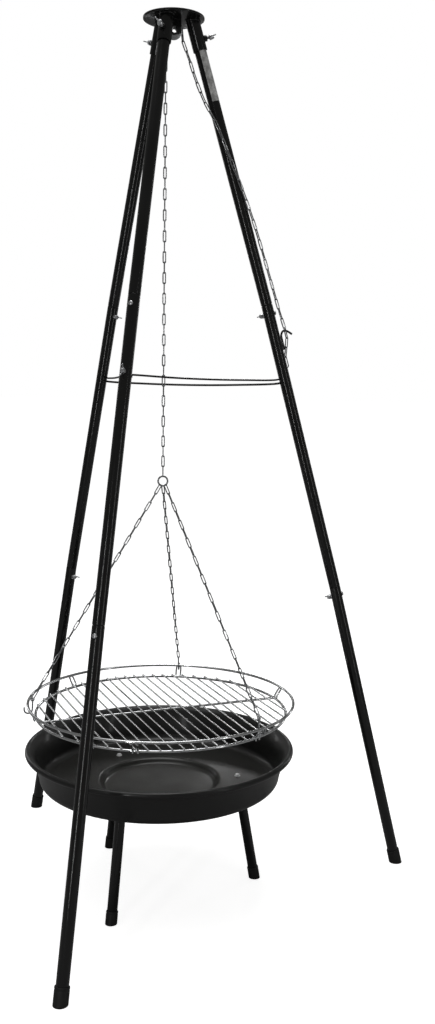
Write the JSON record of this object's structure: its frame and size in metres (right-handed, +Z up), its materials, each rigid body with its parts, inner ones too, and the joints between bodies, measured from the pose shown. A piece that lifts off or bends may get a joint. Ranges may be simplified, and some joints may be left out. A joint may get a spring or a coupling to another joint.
{
  "type": "campfire tripod grate",
  "caption": "Black tube tripod with a round chrome grill grate hung on a chain over a black fire bowl that stands on its own legs.",
  "frame": {"origin": "on the ground under the middle of the whole object's bounding box", "axes": "+Z up along the tripod's height, -Y towards the front leg's side, +X towards the leg with the chain hook"},
  "size_m": [0.9264, 0.9674, 1.891],
  "materials": {
    "black_paint": "glossy",
    "bowl_enamel": "glossy",
    "black_plastic": "matt",
    "hardware_zinc": "zinc plated",
    "chain_zinc": "zinc plated, semi-gloss",
    "grate_chrome": "polished"
  },
  "bodies": {
    "tripod": {"chain_hook": "black_paint", "foot_cap_back": "black_plastic", "foot_cap_front": "black_plastic", "foot_cap_right": "black_plastic", "head_plate": "black_paint", "leg_bolt_lower_back": "hardware_zinc", "leg_bolt_lower_front": "hardware_zinc", "leg_bolt_lower_right": "hardware_zinc", "leg_bolt_upper_back": "hardware_zinc", "leg_bolt_upper_front": "hardware_zinc", "leg_bolt_upper_right": "hardware_zinc", "leg_lower_back": "black_paint", "leg_lower_front": "black_paint", "leg_lower_right": "black_paint", "leg_middle_back": "black_paint", "leg_middle_front": "black_paint", "leg_middle_right": "black_paint", "leg_upper_back": "black_paint", "leg_upper_front": "black_paint", "leg_upper_right": "black_paint", "pulley_axle": "black_paint", "return_chain": "chain_zinc", "socket_back": "black_paint", "socket_front": "black_paint", "socket_right": "black_paint", "spreader_bolt": "hardware_zinc", "spreader_rod_back_right": "black_paint", "spreader_rod_front_back": "black_paint", "spreader_rod_front_right": "black_paint"},
    "pulley": {"chain_pulley": "hardware_zinc"},
    "strand": {"main_chain": "chain_zinc"},
    "hanger": {"junction_ring": "chain_zinc"},
    "grate": {"grate_floor": "grate_chrome", "grate_rim": "grate_chrome", "grate_chain_back": "chain_zinc", "grate_chain_left": "chain_zinc", "grate_chain_right": "chain_zinc", "grate_hook_back": "chain_zinc", "grate_hook_left": "chain_zinc", "grate_hook_right": "chain_zinc"},
    "bowl": {"fire_bowl": "bowl_enamel", "bowl_leg_front": "black_paint", "bowl_cap_front": "black_plastic", "bowl_bolt_front": "hardware_zinc", "bowl_leg_right": "black_paint", "bowl_cap_right": "black_plastic", "bowl_bolt_right": "hardware_zinc", "bowl_leg_back": "black_paint", "bowl_cap_back": "black_plastic", "bowl_bolt_back": "hardware_zinc"},
    "screw_head_front": {"head_wing_screw_front": "hardware_zinc"},
    "nut_upper_front": {"wing_nut_upper_front": "hardware_zinc"},
    "nut_lower_front": {"wing_nut_lower_front": "hardware_zinc"},
    "screw_head_right": {"head_wing_screw_right": "hardware_zinc"},
    "nut_upper_right": {"wing_nut_upper_right": "hardware_zinc"},
    "nut_lower_right": {"wing_nut_lower_right": "hardware_zinc"},
    "screw_head_back": {"head_wing_screw_back": "hardware_zinc"},
    "nut_upper_back": {"wing_nut_upper_back": "hardware_zinc"},
    "nut_lower_back": {"wing_nut_lower_back": "hardware_zinc"},
    "nut_spreader": {"spreader_wing_nut": "hardware_zinc"}
  },
  "joints": [
    {"name": "grate_swing", "type": "hinge", "parent": "tripod", "child": "strand", "pos_m": [-0.1133, 0.04311, 1.85], "axis": [-0.7716, -0.6361, 0], "range_deg": [-3, 9]},
    {"name": "grate_height", "type": "slide", "parent": "strand", "child": "hanger", "axis": [0, 0, 1], "range_m": [0, 0.15], "deforming": ["main_chain"]},
    {"name": "grate_spin", "type": "hinge", "parent": "hanger", "child": "grate", "pos_m": [-0.1133, 0.04311, 0.9155], "axis": [0, 0, 1], "range_deg": [-180, 180]},
    {"name": "pulley_turn", "type": "hinge", "parent": "tripod", "child": "pulley", "pos_m": [-0.09702, 0.04583, 1.8645], "axis": [-0.165, 0.9863, 0], "range_deg": [-1, 523]},
    {"name": "bowl_slide", "type": "slide", "parent": "tripod", "child": "bowl", "axis": [0.6361, -0.7716, 0], "range_m": [0, 0.35]},
    {"name": "head_screw_turn_front", "type": "hinge", "parent": "tripod", "child": "screw_head_front", "pos_m": [-0.12379, -0.02537, 1.85574], "axis": [-0.3377, -0.8984, 0.2808], "range_deg": [0, 360]},
    {"name": "head_screw_turn_right", "type": "hinge", "parent": "tripod", "child": "screw_head_right", "pos_m": [-0.02161, 0.05576, 1.85574], "axis": [0.9516, 0.1253, 0.2808], "range_deg": [0, 360]},
    {"name": "head_screw_turn_back", "type": "hinge", "parent": "tripod", "child": "screw_head_back", "pos_m": [-0.14561, 0.10436, 1.85574], "axis": [-0.6131, 0.7384, 0.2808], "range_deg": [0, 360]},
    {"name": "nut_turn_upper_front", "type": "hinge", "parent": "tripod", "child": "nut_upper_front", "pos_m": [-0.16683, -0.13989, 1.2777], "axis": [0.3396, 0.9034, -0.2618], "range_deg": [0, 360]},
    {"name": "nut_turn_upper_right", "type": "hinge", "parent": "tripod", "child": "nut_upper_right", "pos_m": [0.09968, 0.07173, 1.2777], "axis": [-0.9569, -0.126, -0.2618], "range_deg": [0, 360]},
    {"name": "nut_turn_upper_back", "type": "hinge", "parent": "tripod", "child": "nut_upper_back", "pos_m": [-0.22376, 0.19848, 1.2777], "axis": [0.6165, -0.7426, -0.2618], "range_deg": [0, 360]},
    {"name": "nut_turn_lower_front", "type": "hinge", "parent": "tripod", "child": "nut_lower_front", "pos_m": [-0.22681, -0.29947, 0.64772], "axis": [0.3413, 0.9081, -0.2427], "range_deg": [0, 360]},
    {"name": "nut_turn_lower_right", "type": "hinge", "parent": "tripod", "child": "nut_lower_right", "pos_m": [0.26871, 0.09398, 0.64772], "axis": [-0.9618, -0.1266, -0.2427], "range_deg": [0, 360]},
    {"name": "nut_turn_lower_back", "type": "hinge", "parent": "tripod", "child": "nut_lower_back", "pos_m": [-0.33266, 0.32965, 0.64772], "axis": [0.6197, -0.7464, -0.2427], "range_deg": [0, 360]},
    {"name": "nut_turn_spreader", "type": "hinge", "parent": "tripod", "child": "nut_spreader", "pos_m": [-0.19176, -0.20623, 1.15393], "axis": [-0.3396, -0.9034, 0.2618], "range_deg": [0, 360]}
  ],
  "couplings": [
    {"joint": "pulley_turn", "follows": "grate_height", "rad_per_m": 60.606}
  ]
}
